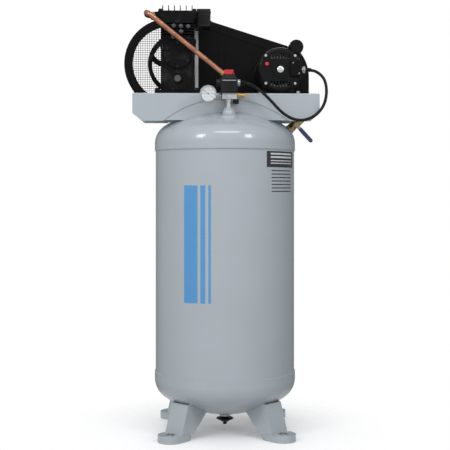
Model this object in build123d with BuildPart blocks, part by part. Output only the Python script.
from build123d import *
import math
import os

# Vertical tank compressor: a belt-driven two-cylinder pump and its motor on a platform
# above an upright air tank on four legs.
# Millimetres, +Z up, origin on the tank's axis at floor level, front of the machine at -Y.

os.makedirs("parts", exist_ok=True)

# ---- driving dimensions -------------------------------------------------------------
HEAD_R = 265.0          # outside radius of the dished heads' skirts
WALL = 3.5              # tank plate
SHELL_R = HEAD_R - WALL
DOME_H = 135.0          # height of each dished end
LOWER_TANGENT = 197.0
UPPER_TANGENT = 1078.0
SKIRT = 25.0            # how far each head laps over the shell

BOLT_CIRCLE_XY = 203.0  # floor bolt holes at +-this in X and Y
LEG_SHEET = 4.0
PAD_H = 25.0
PAD_R = 46.0
FLOOR_HOLE_R = 8.0

DECK_X = 343.0
DECK_Y = 140.0
DECK_TOP = 1258.0
DECK_SHEET = 5.0
FRONT_APRON_BOTTOM = 1156.0
REAR_APRON_BOTTOM = 1165.0

PORT_X = 8.0            # top port, pressure switch and manifold
PORT_Y = -175.0

CRANK_X = -178.0
CRANK_Z = 1401.0
CRANK_THROW = 22.0
ROD_LENGTH = 84.0
CYLINDER_YS = (-55.0, 50.0)
BORE_R = 44.0
CASE_TOP = 1458.0
DECK_OF_BLOCK = 1528.0
HEAD_TOP = 1563.0

WHEEL_Y = 190.0         # middle plane of the belt
WHEEL_R = 120.0
WHEEL_PITCH_R = 115.0
PULLEY_PITCH_R = 45.0

MOTOR_X = 200.0
MOTOR_Z = 1347.0
MOTOR_R = 82.5
SHAFT_R = 11.0

GUARD_FRONT = 150.0
GUARD_BACK = 235.0

CABLE_R = 5.5
RUNNING = 0.05          # radial clearance of a running fit
CLEAR = 0.4             # gap between parts that move past each other


def facing(y):
    """A sketch plane at the given Y that faces the front: local axes are X and Z."""
    return Plane(origin=(0, y, 0), x_dir=(1, 0, 0), z_dir=(0, -1, 0))


def from_right(x):
    """A sketch plane at the given X that faces +X: local axes are Y and Z."""
    return Plane(origin=(x, 0, 0), x_dir=(0, 1, 0), z_dir=(1, 0, 0))


# Each dished end is a crown sphere that meets a knuckle ring at a common tangent.
KNUCKLE_R = 80.0
OUTLET_SINK = 8.0
KNUCKLE_X = HEAD_R - KNUCKLE_R
CROWN_R = (KNUCKLE_X**2 + DOME_H**2 - KNUCKLE_R**2) / (2 * (DOME_H - KNUCKLE_R))
CROWN_DROP = CROWN_R - DOME_H
KNUCKLE_TURN = math.degrees(math.atan2(CROWN_DROP, KNUCKLE_X))


def dished_section(tangent, up, inset, foot):
    """Half of a dished end's section: skirt foot, knuckle and crown, ended on the axis."""
    Line((HEAD_R - inset, foot), (HEAD_R - inset, tangent))
    CenterArc((KNUCKLE_X, tangent), KNUCKLE_R - inset, 0, up * KNUCKLE_TURN)
    CenterArc(
        (0, tangent - up * CROWN_DROP), CROWN_R - inset,
        up * KNUCKLE_TURN, up * (90 - KNUCKLE_TURN),
    )


def make_head(tangent, up):
    """A dished head with its lapped skirt; up is 1 for the upper head, -1 for the lower."""
    foot = tangent - up * SKIRT
    apex = tangent + up * DOME_H
    with BuildPart() as head:
        with BuildSketch(Plane.XZ):
            with BuildLine():
                dished_section(tangent, up, 0, foot)
                Line((0, apex), (0, apex - up * WALL))
                dished_section(tangent, up, WALL, foot)
                Line((SHELL_R, foot), (HEAD_R, foot))
            make_face()
        revolve(axis=Axis.Z)
    return head.part


def make_dome(tangent, up):
    """The full space within a dished end, to trim other pieces against."""
    foot = tangent - up * SKIRT
    apex = tangent + up * DOME_H
    with BuildPart() as dome:
        with BuildSketch(Plane.XZ):
            with BuildLine():
                dished_section(tangent, up, 0, foot)
                Polyline((0, apex), (0, foot), (HEAD_R, foot))
            make_face()
        revolve(axis=Axis.Z)
    return dome.part


def hex_bolt(across, head_h, shank_r, shank_l):
    """A hexagon bolt that points along -Z, its head standing on Z = 0."""
    with BuildPart() as bolt:
        with BuildSketch(Plane.XY):
            RegularPolygon(across / 2, 6, major_radius=False)
        extrude(amount=head_h)
        with BuildSketch(Plane.XY):
            Circle(shank_r)
        extrude(amount=-shank_l)
    return bolt.part


# ---- tank ---------------------------------------------------------------------------
with BuildPart() as tank_shell:
    with BuildSketch(Plane.XY.offset(LOWER_TANGENT + WALL)):
        Circle(SHELL_R)
        Circle(SHELL_R - WALL, mode=Mode.SUBTRACT)
    extrude(amount=UPPER_TANGENT - LOWER_TANGENT - 2 * WALL)
tank_shell.part.label = "tank_shell"
export_step(tank_shell.part, "parts/tank_shell.step")

OUTLET_RISE = 42.6      # direction of the outlet, degrees above +X
OUTLET_DIR = (math.cos(math.radians(OUTLET_RISE)), 0, math.sin(math.radians(OUTLET_RISE)))
OUTLET_FOOT = (
    KNUCKLE_X + (KNUCKLE_R - OUTLET_SINK) * OUTLET_DIR[0], 0,
    UPPER_TANGENT + (KNUCKLE_R - OUTLET_SINK) * OUTLET_DIR[2],
)
OUTLET_BOSS = 14.0
OUTLET_BORE_R = 10.0
TOP_BOSS_R = 18.0
TOP_BOSS_Z = (1168, 1201)
DRAIN_BOSS_R = 20.0
DRAIN_BOSS_Z = (49, 70)
outlet_plane = Plane(origin=OUTLET_FOOT, x_dir=(0, 1, 0), z_dir=OUTLET_DIR)

with BuildPart() as tank_upper_head:
    add(make_head(UPPER_TANGENT, 1))
    with BuildSketch(Plane.XY.offset(TOP_BOSS_Z[0] - 8)):
        with Locations((PORT_X, PORT_Y)):
            Circle(TOP_BOSS_R)
    extrude(amount=60, mode=Mode.SUBTRACT)
    with BuildSketch(outlet_plane):
        Circle(TOP_BOSS_R)
    extrude(amount=25, both=True, mode=Mode.SUBTRACT)
tank_upper_head.part.label = "tank_upper_head"
export_step(tank_upper_head.part, "parts/tank_upper_head.step")

with BuildPart() as tank_lower_head:
    add(make_head(LOWER_TANGENT, -1))
    with BuildSketch(Plane.XY):
        Circle(DRAIN_BOSS_R)
    extrude(amount=LOWER_TANGENT, mode=Mode.SUBTRACT)
tank_lower_head.part.label = "tank_lower_head"
export_step(tank_lower_head.part, "parts/tank_lower_head.step")

with BuildPart() as tank_ports:
    with BuildSketch(Plane.XY.offset(TOP_BOSS_Z[0])):
        with Locations((PORT_X, PORT_Y)):
            Circle(TOP_BOSS_R)
            Circle(11, mode=Mode.SUBTRACT)
    extrude(amount=TOP_BOSS_Z[1] - TOP_BOSS_Z[0])
    with BuildSketch(outlet_plane):
        Circle(TOP_BOSS_R)
        Circle(OUTLET_BORE_R, mode=Mode.SUBTRACT)
    extrude(amount=OUTLET_BOSS)
    with BuildSketch(Plane.XY.offset(DRAIN_BOSS_Z[0])):
        Circle(DRAIN_BOSS_R)
        Circle(8, mode=Mode.SUBTRACT)
    extrude(amount=DRAIN_BOSS_Z[1] - DRAIN_BOSS_Z[0])
tank_ports.part.label = "tank_ports"
export_step(tank_ports.part, "parts/tank_ports.step")

lower_dome = make_dome(LOWER_TANGENT, -1)
upper_dome = make_dome(UPPER_TANGENT, 1)

# ---- legs ---------------------------------------------------------------------------
HOLE_RADIUS = BOLT_CIRCLE_XY * math.sqrt(2)
WEB_HALF = 43.0
WEB_BOTTOM = (272.0, PAD_H - LEG_SHEET)
WEB_TOP = (240.0, 127.0)
FLANGE_ROOT = (146.0, 90.0)
FLANGE_FOOT = (212.0, PAD_H - LEG_SHEET)
PAD_STRETCH = 38.0
LEG_ANGLES = {
    "leg_front_right": -45,
    "leg_front_left": -135,
    "leg_rear_left": 135,
    "leg_rear_right": 45,
}


def make_leg(degrees):
    """A channel leg on a cup foot: its web faces outwards along the given direction."""
    a = math.radians(degrees)
    outward = (math.cos(a), math.sin(a), 0)
    sideways = (math.sin(a), -math.cos(a), 0)
    upright = Plane(origin=(0, 0, 0), x_dir=outward, z_dir=sideways)
    floor = Plane(origin=(0, 0, 0), x_dir=outward, z_dir=(0, 0, 1))
    with BuildPart() as leg:
        with BuildSketch(upright):
            Polygon(FLANGE_ROOT, (200, 150), WEB_TOP, WEB_BOTTOM, FLANGE_FOOT, align=None)
        extrude(amount=WEB_HALF, both=True)
        with BuildSketch(upright):
            with BuildLine():
                Polyline(
                    (100, 90), (200, 200), (WEB_TOP[0] - LEG_SHEET, 200),
                    (WEB_TOP[0] - LEG_SHEET, WEB_TOP[1]),
                    (WEB_BOTTOM[0] - LEG_SHEET, WEB_BOTTOM[1]), (100, WEB_BOTTOM[1]),
                    close=True,
                )
            make_face()
        extrude(amount=WEB_HALF - LEG_SHEET, both=True, mode=Mode.SUBTRACT)
        with BuildSketch(floor):
            with Locations((HOLE_RADIUS - PAD_STRETCH / 2, 0)):
                SlotCenterToCenter(PAD_STRETCH, 2 * PAD_R)
        extrude(amount=PAD_H)
        with BuildSketch(floor):
            with Locations((HOLE_RADIUS - PAD_STRETCH / 2, 0)):
                SlotCenterToCenter(PAD_STRETCH, 2 * (PAD_R - LEG_SHEET))
        extrude(amount=PAD_H - LEG_SHEET, mode=Mode.SUBTRACT)
        with BuildSketch(floor):
            with Locations((HOLE_RADIUS, 0)):
                Circle(FLOOR_HOLE_R + 5)
        extrude(amount=PAD_H)
        with BuildSketch(floor):
            with Locations((HOLE_RADIUS, 0)):
                Circle(FLOOR_HOLE_R)
        extrude(amount=PAD_H, mode=Mode.SUBTRACT)
        add(lower_dome, mode=Mode.SUBTRACT)
    return leg.part


for leg_name, leg_angle in LEG_ANGLES.items():
    leg_part = make_leg(leg_angle)
    leg_part.label = leg_name
    export_step(leg_part, f"parts/{leg_name}.step")

# ---- drain valve --------------------------------------------------------------------
DRAIN_Z = (18, 49)
KNOB_Z = (27, 42)
KNOB_R = 34.0
DRAIN_STEM_R = 7.0
DRAIN_BORE_R = 3.0
DRAIN_COLLAR_R = 14.0
with BuildPart() as drain_body:
    with BuildSketch(Plane.XY.offset(DRAIN_Z[0])):
        Circle(DRAIN_STEM_R)
        Circle(DRAIN_BORE_R, mode=Mode.SUBTRACT)
    extrude(amount=DRAIN_Z[1] - DRAIN_Z[0])
    with BuildSketch(Plane.XY.offset(KNOB_Z[1] + CLEAR)):
        Circle(DRAIN_COLLAR_R)
        Circle(DRAIN_BORE_R, mode=Mode.SUBTRACT)
    extrude(amount=DRAIN_Z[1] - KNOB_Z[1] - CLEAR)
drain_body.part.label = "drain_body"
export_step(drain_body.part, "parts/drain_body.step")

with BuildPart() as drain_knob:
    with BuildSketch(Plane.XY.offset(KNOB_Z[0])):
        Circle(KNOB_R)
        with PolarLocations(KNOB_R + 3, 12):
            Circle(6, mode=Mode.SUBTRACT)
        Circle(7 + RUNNING, mode=Mode.SUBTRACT)
    extrude(amount=KNOB_Z[1] - KNOB_Z[0])
drain_knob.part.label = "drain_knob"
export_step(drain_knob.part, "parts/drain_knob.step")

# ---- platform -----------------------------------------------------------------------
FOOT_BOLT_R = 5.0
pump_bolt_points = [(CRANK_X + x, y) for x in (-74, 74) for y in (-103, 100)]
motor_bolt_points = [(MOTOR_X + x, y) for x in (-70, 70) for y in (-66, 66)]
APRON_SHEET = 3.0
CORNER_X = 34.0
CORNER_Z = 29.0
SADDLE_R = 366.0
SADDLE_TOP = 1238.0
LIP = 12.0
DECK_UNDER = DECK_TOP - DECK_SHEET
with BuildPart() as platform:
    with BuildSketch(Plane.XY.offset(DECK_UNDER)):
        Rectangle(2 * DECK_X, 2 * DECK_Y)
    extrude(amount=DECK_SHEET)
    for rear_face, bottom in (
        (-DECK_Y + APRON_SHEET, FRONT_APRON_BOTTOM), (DECK_Y, REAR_APRON_BOTTOM),
    ):
        with BuildSketch(facing(rear_face)):
            Polygon(
                (-DECK_X, DECK_TOP), (DECK_X, DECK_TOP),
                (DECK_X, bottom + CORNER_Z), (DECK_X - CORNER_X, bottom),
                (-DECK_X + CORNER_X, bottom), (-DECK_X, bottom + CORNER_Z),
                align=None,
            )
            with Locations((0, SADDLE_TOP - SADDLE_R)):
                Circle(SADDLE_R, mode=Mode.SUBTRACT)
        extrude(amount=APRON_SHEET)
    for side, bottom in ((-1, FRONT_APRON_BOTTOM), (1, REAR_APRON_BOTTOM)):
        cut_half = math.sqrt(SADDLE_R**2 - (bottom - SADDLE_TOP + SADDLE_R) ** 2)
        lip_length = DECK_X - CORNER_X - cut_half
        lip_x = cut_half + lip_length / 2
        lip_y = side * (DECK_Y - LIP / 2)
        with BuildSketch(Plane.XY.offset(bottom)):
            with Locations((lip_x, lip_y), (-lip_x, lip_y)):
                Rectangle(lip_length, LIP)
        extrude(amount=APRON_SHEET)
    with BuildSketch(Plane.XY.offset(DECK_TOP)):
        with Locations(pump_bolt_points + motor_bolt_points):
            Circle(FOOT_BOLT_R)
    extrude(amount=-DECK_SHEET, mode=Mode.SUBTRACT)
    fillet(platform.edges().filter_by(Axis.X).group_by(Axis.Z)[-1], 4)
platform.part.label = "platform"
export_step(platform.part, "parts/platform.step")

# Close behind each apron a plate fills the saddle cut down to the tank.
SUPPORT_X = 250.0
SUPPORT_SHEET = 6.0
support_rear = DECK_Y - APRON_SHEET
with BuildPart() as platform_saddles:
    for plate_rear, bottom in (
        (-support_rear + SUPPORT_SHEET, FRONT_APRON_BOTTOM + APRON_SHEET),
        (support_rear, REAR_APRON_BOTTOM + APRON_SHEET),
    ):
        with BuildSketch(facing(plate_rear)):
            Polygon(
                (-SUPPORT_X, DECK_UNDER), (SUPPORT_X, DECK_UNDER),
                (SUPPORT_X, bottom), (-SUPPORT_X, bottom),
                align=None,
            )
        extrude(amount=SUPPORT_SHEET)
    add(upper_dome, mode=Mode.SUBTRACT)
platform_saddles.part.label = "platform_saddles"
export_step(platform_saddles.part, "parts/platform_saddles.step")

# ---- pump: crankcase ----------------------------------------------------------------
CASE_HALF = 62.0
CASE_WALL = 8.0
CASE_FRONT = -115.0
CASE_REAR = 110.0
FOOT_HALF = 84.0
FOOT_H = 14.0
BEARING_R = 31.0
JOURNAL_R = 15.0
FRONT_BEARING_Y = (-112.0, -94.0)
REAR_BEARING_Y = (88.0, 106.0)
COVER_R = 50.0
COVER_SHEET = 6.0
COVER_SCREW_R = 3.0
COVER_SCREW_CIRCLE = 43.5
cover_plane = Plane(
    origin=(CRANK_X, CASE_FRONT - COVER_SHEET, CRANK_Z), x_dir=(1, 0, 0), z_dir=(0, -1, 0)
)
SPIGOT_R = 50.0

with BuildPart() as crankcase:
    with BuildSketch(facing(CASE_REAR)):
        with Locations((CRANK_X, (DECK_TOP + CASE_TOP) / 2)):
            Rectangle(2 * CASE_HALF, CASE_TOP - DECK_TOP)
        with Locations((CRANK_X, DECK_TOP + FOOT_H / 2)):
            Rectangle(2 * FOOT_HALF, FOOT_H)
        with Locations((CRANK_X, CASE_TOP - 5)):
            Rectangle(2 * CASE_HALF + 12, 10)
    extrude(amount=CASE_REAR - CASE_FRONT)
    with BuildSketch(facing(CASE_REAR - CASE_WALL)):
        with Locations((CRANK_X, (DECK_TOP + CASE_TOP) / 2)):
            Rectangle(2 * (CASE_HALF - CASE_WALL), CASE_TOP - DECK_TOP - 2 * CASE_WALL)
    extrude(amount=CASE_REAR - CASE_FRONT - 2 * CASE_WALL, mode=Mode.SUBTRACT)
    # boss that carries the rear bearing, and the opening behind the front cover
    with BuildSketch(facing(CASE_REAR)):
        with Locations((CRANK_X, CRANK_Z)):
            Circle(BEARING_R + 7)
    extrude(amount=CASE_REAR - REAR_BEARING_Y[0])
    with BuildSketch(facing(REAR_BEARING_Y[1])):
        with Locations((CRANK_X, CRANK_Z)):
            Circle(BEARING_R)
    extrude(amount=REAR_BEARING_Y[1] - REAR_BEARING_Y[0], mode=Mode.SUBTRACT)
    with BuildSketch(facing(CASE_REAR)):
        with Locations((CRANK_X, CRANK_Z)):
            Circle(JOURNAL_R + 0.5)
    extrude(amount=20, mode=Mode.SUBTRACT)
    with BuildSketch(facing(CASE_FRONT + CASE_WALL)):
        with Locations((CRANK_X, CRANK_Z)):
            Circle(BEARING_R + 7)
    extrude(amount=CASE_WALL, mode=Mode.SUBTRACT)
    with BuildSketch(Plane.XY.offset(CASE_TOP - CASE_WALL)):
        for cylinder_y in CYLINDER_YS:
            with Locations((CRANK_X, cylinder_y)):
                Circle(SPIGOT_R)
    extrude(amount=CASE_WALL, mode=Mode.SUBTRACT)
    with BuildSketch(Plane.XY.offset(DECK_TOP)):
        with Locations(pump_bolt_points):
            Circle(FOOT_BOLT_R)
    extrude(amount=FOOT_H, mode=Mode.SUBTRACT)
    fillet(crankcase.edges().filter_by(Axis.Z).group_by(Axis.Z)[1], 5)
crankcase.part.label = "crankcase"
export_step(crankcase.part, "parts/crankcase.step")

with BuildPart() as crankcase_cover:
    with BuildSketch(facing(CASE_FRONT)):
        with Locations((CRANK_X, CRANK_Z)):
            Circle(COVER_R)
    extrude(amount=COVER_SHEET)
    with BuildSketch(cover_plane):
        with PolarLocations(COVER_SCREW_CIRCLE, 6, start_angle=30):
            Circle(COVER_SCREW_R)
    extrude(amount=-COVER_SHEET, mode=Mode.SUBTRACT)
    with BuildSketch(facing(FRONT_BEARING_Y[1])):
        with Locations((CRANK_X, CRANK_Z)):
            Circle(BEARING_R + 7)
    extrude(amount=FRONT_BEARING_Y[1] - CASE_FRONT)
    with BuildSketch(facing(FRONT_BEARING_Y[1])):
        with Locations((CRANK_X, CRANK_Z)):
            Circle(BEARING_R)
    extrude(amount=FRONT_BEARING_Y[1] - FRONT_BEARING_Y[0], mode=Mode.SUBTRACT)
crankcase_cover.part.label = "crankcase_cover"
export_step(crankcase_cover.part, "parts/crankcase_cover.step")

# ---- pump: cylinders, valve plate and head ------------------------------------------
BLOCK_HALF = 62.0
BLOCK_FRONT = -118.0
BLOCK_REAR = 113.0
FIN_PITCH = 10.0
FIN_THICK = 3.0
VALVE_PLATE_H = 8.0
BARREL_R = 52.0
with BuildPart() as cylinder_block:
    with BuildSketch(Plane.XY.offset(CASE_TOP)):
        for cylinder_y in CYLINDER_YS:
            with Locations((CRANK_X, cylinder_y)):
                Circle(BARREL_R)
        with Locations((CRANK_X, (BLOCK_FRONT + BLOCK_REAR) / 2)):
            Rectangle(40, BLOCK_REAR - BLOCK_FRONT - 20)
    extrude(amount=DECK_OF_BLOCK - CASE_TOP)
    for layer in range(7):
        fin_z = CASE_TOP + FIN_PITCH * layer
        fin_h = 8 if layer == 0 else FIN_THICK
        with BuildSketch(Plane.XY.offset(fin_z)):
            with Locations((CRANK_X, (BLOCK_FRONT + BLOCK_REAR) / 2)):
                RectangleRounded(2 * BLOCK_HALF, BLOCK_REAR - BLOCK_FRONT, 12)
        extrude(amount=fin_h)
    with BuildSketch(Plane.XY.offset(DECK_OF_BLOCK - 8)):
        with Locations((CRANK_X, (BLOCK_FRONT + BLOCK_REAR) / 2)):
            RectangleRounded(2 * BLOCK_HALF, BLOCK_REAR - BLOCK_FRONT, 12)
    extrude(amount=8)
    with BuildSketch(Plane.XY.offset(CASE_TOP)):
        for cylinder_y in CYLINDER_YS:
            with Locations((CRANK_X, cylinder_y)):
                Circle(BORE_R)
    extrude(amount=DECK_OF_BLOCK - CASE_TOP, mode=Mode.SUBTRACT)
cylinder_block.part.label = "cylinder_block"
export_step(cylinder_block.part, "parts/cylinder_block.step")

HEAD_X = (-251.0, -107.0)
HEAD_MID = (HEAD_X[0] + HEAD_X[1]) / 2
HEAD_LEN = BLOCK_REAR - BLOCK_FRONT
HEAD_BOTTOM = DECK_OF_BLOCK + VALVE_PLATE_H
FIN_TOP = 1583.0
TOP_FINS = 6
TOP_FIN_PITCH = 21.7
HEAD_BOLT_R = 4.5
HEAD_BOLT_DEPTH = 20.0
head_bolt_points = [
    (HEAD_MID + side * 63, y) for side in (-1, 1) for y in (-104, -2.5, 99)
]
with BuildPart() as valve_plate:
    with BuildSketch(Plane.XY.offset(DECK_OF_BLOCK)):
        with Locations((HEAD_MID, (BLOCK_FRONT + BLOCK_REAR) / 2)):
            RectangleRounded(132, HEAD_LEN, 12)
        for cylinder_y in CYLINDER_YS:
            with Locations((CRANK_X - 18, cylinder_y), (CRANK_X + 18, cylinder_y)):
                Circle(8, mode=Mode.SUBTRACT)
    extrude(amount=VALVE_PLATE_H)
valve_plate.part.label = "valve_plate"
export_step(valve_plate.part, "parts/valve_plate.step")

OUTLET_Y = -70.0
OUTLET_Z = 1550.0
with BuildPart() as cylinder_head:
    with BuildSketch(Plane.XY.offset(HEAD_BOTTOM)):
        with Locations((HEAD_MID, (BLOCK_FRONT + BLOCK_REAR) / 2)):
            RectangleRounded(HEAD_X[1] - HEAD_X[0], HEAD_LEN, 10)
    extrude(amount=HEAD_TOP - HEAD_BOTTOM)
    with BuildSketch(Plane.XY.offset(HEAD_BOTTOM)):
        with Locations((HEAD_MID - 29, (BLOCK_FRONT + BLOCK_REAR) / 2)):
            Rectangle(46, HEAD_LEN - 60)
        with Locations((HEAD_MID + 29, (BLOCK_FRONT + BLOCK_REAR) / 2)):
            Rectangle(46, HEAD_LEN - 60)
    extrude(amount=HEAD_TOP - HEAD_BOTTOM - 8, mode=Mode.SUBTRACT)
    with BuildSketch(Plane.XY.offset(HEAD_TOP)):
        with Locations(head_bolt_points):
            Circle(HEAD_BOLT_R)
    extrude(amount=-HEAD_BOLT_DEPTH, mode=Mode.SUBTRACT)
    with BuildSketch(Plane.XY.offset(HEAD_TOP - 1)):
        with Locations((HEAD_MID, (BLOCK_FRONT + BLOCK_REAR) / 2)):
            with GridLocations(TOP_FIN_PITCH, 1, TOP_FINS, 1):
                Rectangle(FIN_THICK, HEAD_LEN - 16)
    extrude(amount=FIN_TOP - HEAD_TOP + 1)
    with BuildSketch(from_right(HEAD_X[0] - 12)):
        with Locations((OUTLET_Y, OUTLET_Z)):
            RegularPolygon(15, 6, major_radius=False)
    extrude(amount=14)
    with BuildSketch(from_right(HEAD_X[0] - 12)):
        with Locations((OUTLET_Y, OUTLET_Z)):
            Circle(7)
    extrude(amount=32, mode=Mode.SUBTRACT)
cylinder_head.part.label = "cylinder_head"
export_step(cylinder_head.part, "parts/cylinder_head.step")

# ---- pump: filter, bolts and sight glass --------------------------------------------
FILTER_X = (HEAD_X[1], -56.0)
FILTER_Y = (-75.0, 20.0)
FILTER_Z = (1512.0, 1577.0)
FILTER_WALL = 3.0
filter_mid = (sum(FILTER_X) / 2, sum(FILTER_Y) / 2)
filter_size = (FILTER_X[1] - FILTER_X[0], FILTER_Y[1] - FILTER_Y[0])
with BuildPart() as filter_housing:
    with BuildSketch(Plane.XY.offset(FILTER_Z[0])):
        with Locations(filter_mid):
            RectangleRounded(*filter_size, 6)
    extrude(amount=FILTER_Z[1] - FILTER_Z[0])
    with BuildSketch(Plane.XY.offset(FILTER_Z[0] + FILTER_WALL)):
        with Locations(filter_mid):
            RectangleRounded(filter_size[0] - 2 * FILTER_WALL, filter_size[1] - 2 * FILTER_WALL, 4)
    extrude(amount=FILTER_Z[1] - FILTER_Z[0] - 2 * FILTER_WALL, mode=Mode.SUBTRACT)
filter_housing.part.label = "filter_housing"
export_step(filter_housing.part, "parts/filter_housing.step")

with BuildPart() as filter_element:
    with BuildSketch(Plane.XY.offset(FILTER_Z[0] + FILTER_WALL)):
        with Locations(filter_mid):
            RectangleRounded(filter_size[0] - 10, filter_size[1] - 10, 4)
            RectangleRounded(filter_size[0] - 30, filter_size[1] - 30, 4, mode=Mode.SUBTRACT)
    extrude(amount=FILTER_Z[1] - FILTER_Z[0] - 2 * FILTER_WALL)
filter_element.part.label = "filter_element"
export_step(filter_element.part, "parts/filter_element.step")

cover_screw = hex_bolt(11, 5, COVER_SCREW_R, COVER_SHEET)
head_bolt = hex_bolt(12, 8, HEAD_BOLT_R, HEAD_BOLT_DEPTH)
foot_bolt = hex_bolt(16, 8, FOOT_BOLT_R, FOOT_H + 9)
with BuildPart() as pump_bolts:
    with Locations([(x, y, HEAD_TOP) for x, y in head_bolt_points]):
        add(head_bolt)
    with Locations([(x, y, DECK_TOP + FOOT_H) for x, y in pump_bolt_points]):
        add(foot_bolt)
    with Locations(cover_plane):
        with PolarLocations(COVER_SCREW_CIRCLE, 6, start_angle=30):
            add(cover_screw)
pump_bolts.part.label = "pump_bolts"
export_step(pump_bolts.part, "parts/pump_bolts.step")

SIGHT_Z = DECK_TOP + 56
with BuildPart() as sight_glass:
    with BuildSketch(facing(CASE_FRONT)):
        with Locations((CRANK_X, SIGHT_Z)):
            Circle(12)
    extrude(amount=6)
sight_glass.part.label = "sight_glass"
export_step(sight_glass.part, "parts/sight_glass.step")

# ---- pump: crankshaft, rods, pistons, bearings --------------------------------------
PIN_R = 11.0
WEB_Y = 12.0
THROW_HALF = 13.0
COUNTER_R = 42.0
CRANK_FRONT = -111.0
CRANK_END = 214.0
WHEEL_SEAT_R = 14.0
END_SCREW_R = 6.0
END_SCREW_DEPTH = 20.0
throws = list(zip(CYLINDER_YS, (1, -1)))
with BuildPart() as crankshaft:
    with BuildSketch(facing(REAR_BEARING_Y[1])):
        with Locations((CRANK_X, CRANK_Z)):
            Circle(JOURNAL_R)
    extrude(amount=REAR_BEARING_Y[1] - CRANK_FRONT)
    with BuildSketch(facing(CRANK_END)):
        with Locations((CRANK_X, CRANK_Z)):
            Circle(WHEEL_SEAT_R)
    extrude(amount=CRANK_END - REAR_BEARING_Y[1])
    for throw_y in CYLINDER_YS:
        with BuildSketch(facing(throw_y + THROW_HALF)):
            with Locations((CRANK_X, CRANK_Z)):
                Circle(JOURNAL_R + 1)
        extrude(amount=2 * THROW_HALF, mode=Mode.SUBTRACT)
    for throw_y, side in throws:
        for web_rear in (throw_y + THROW_HALF + WEB_Y, throw_y - THROW_HALF):
            with BuildSketch(facing(web_rear)):
                with Locations((CRANK_X + side * CRANK_THROW, CRANK_Z)):
                    Circle(PIN_R + 7)
                with Locations((CRANK_X, CRANK_Z)):
                    Circle(COUNTER_R)
                    with Locations((side * 32, 0)):
                        Rectangle(40, 100, mode=Mode.SUBTRACT)
                with Locations((CRANK_X + side * 10, CRANK_Z)):
                    Rectangle(24, 36)
            extrude(amount=WEB_Y)
        with BuildSketch(facing(throw_y + THROW_HALF)):
            with Locations((CRANK_X + side * CRANK_THROW, CRANK_Z)):
                Circle(PIN_R)
        extrude(amount=2 * THROW_HALF)
    with BuildSketch(facing(CRANK_END)):
        with Locations((CRANK_X, CRANK_Z)):
            Circle(END_SCREW_R)
    extrude(amount=END_SCREW_DEPTH, mode=Mode.SUBTRACT)
crankshaft.part.label = "crankshaft"
export_step(crankshaft.part, "parts/crankshaft.step")

# The rods stand still at mid-swing. Each big end is a ring wide enough for its crankpin to
# go round inside it, so this open pivot has clearance at every crank angle.
BIG_END_R = CRANK_THROW + PIN_R + 0.8
BIG_END_WALL = 5.0
ROD_HALF_Y = 12.0
SHANK_WIDTH = 14.0
WRIST_R = 7.0
WRIST_WALL = 5.0
WRIST_RISE = math.sqrt(ROD_LENGTH**2 - CRANK_THROW**2)
with BuildPart() as connecting_rods:
    for throw_y in CYLINDER_YS:
        crank_centre = (CRANK_X, CRANK_Z)
        wrist = (CRANK_X, CRANK_Z + WRIST_RISE)
        with BuildSketch(facing(throw_y + ROD_HALF_Y)):
            with BuildLine():
                Line(crank_centre, wrist)
            trace(line_width=SHANK_WIDTH)
            with Locations(crank_centre):
                Circle(BIG_END_R + BIG_END_WALL)
            with Locations(wrist):
                Circle(WRIST_R + WRIST_WALL)
            with Locations(crank_centre):
                Circle(BIG_END_R, mode=Mode.SUBTRACT)
            with Locations(wrist):
                Circle(WRIST_R, mode=Mode.SUBTRACT)
        extrude(amount=2 * ROD_HALF_Y)
connecting_rods.part.label = "connecting_rods"
export_step(connecting_rods.part, "parts/connecting_rods.step")

PISTON_R = BORE_R - 0.1
CROWN_UP = 20.0
SKIRT_DOWN = 18.0
BOSS_END = 41.0
wrist_z = CRANK_Z + WRIST_RISE
with BuildPart() as pistons:
    for throw_y in CYLINDER_YS:
        with BuildSketch(Plane.XY.offset(wrist_z - SKIRT_DOWN)):
            with Locations((CRANK_X, throw_y)):
                Circle(PISTON_R)
        extrude(amount=SKIRT_DOWN + CROWN_UP)
        with BuildSketch(Plane.XY.offset(wrist_z - SKIRT_DOWN)):
            with Locations((CRANK_X, throw_y)):
                Circle(PISTON_R - 4)
        extrude(amount=SKIRT_DOWN + CROWN_UP - 6, mode=Mode.SUBTRACT)
        with BuildSketch(facing(throw_y + BOSS_END)):
            with Locations((CRANK_X, wrist_z)):
                Circle(WRIST_R + 4)
        extrude(amount=BOSS_END - ROD_HALF_Y - 2)
        with BuildSketch(facing(throw_y - ROD_HALF_Y - 2)):
            with Locations((CRANK_X, wrist_z)):
                Circle(WRIST_R + 4)
        extrude(amount=BOSS_END - ROD_HALF_Y - 2)
        with BuildSketch(facing(throw_y + BORE_R)):
            with Locations((CRANK_X, wrist_z)):
                Circle(WRIST_R)
        extrude(amount=2 * BORE_R, mode=Mode.SUBTRACT)
        for ring_z in (6, 11, 16):
            with BuildSketch(Plane.XY.offset(wrist_z + CROWN_UP - ring_z)):
                with Locations((CRANK_X, throw_y)):
                    Circle(PISTON_R + 1)
                    Circle(PISTON_R - 2, mode=Mode.SUBTRACT)
            extrude(amount=1.6, mode=Mode.SUBTRACT)
pistons.part.label = "pistons"
export_step(pistons.part, "parts/pistons.step")

with BuildPart() as wrist_pins:
    for throw_y in CYLINDER_YS:
        with BuildSketch(facing(throw_y + 40)):
            with Locations((CRANK_X, wrist_z)):
                Circle(WRIST_R)
                Circle(WRIST_R - 3, mode=Mode.SUBTRACT)
        extrude(amount=80)
wrist_pins.part.label = "wrist_pins"
export_step(wrist_pins.part, "parts/wrist_pins.step")


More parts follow.
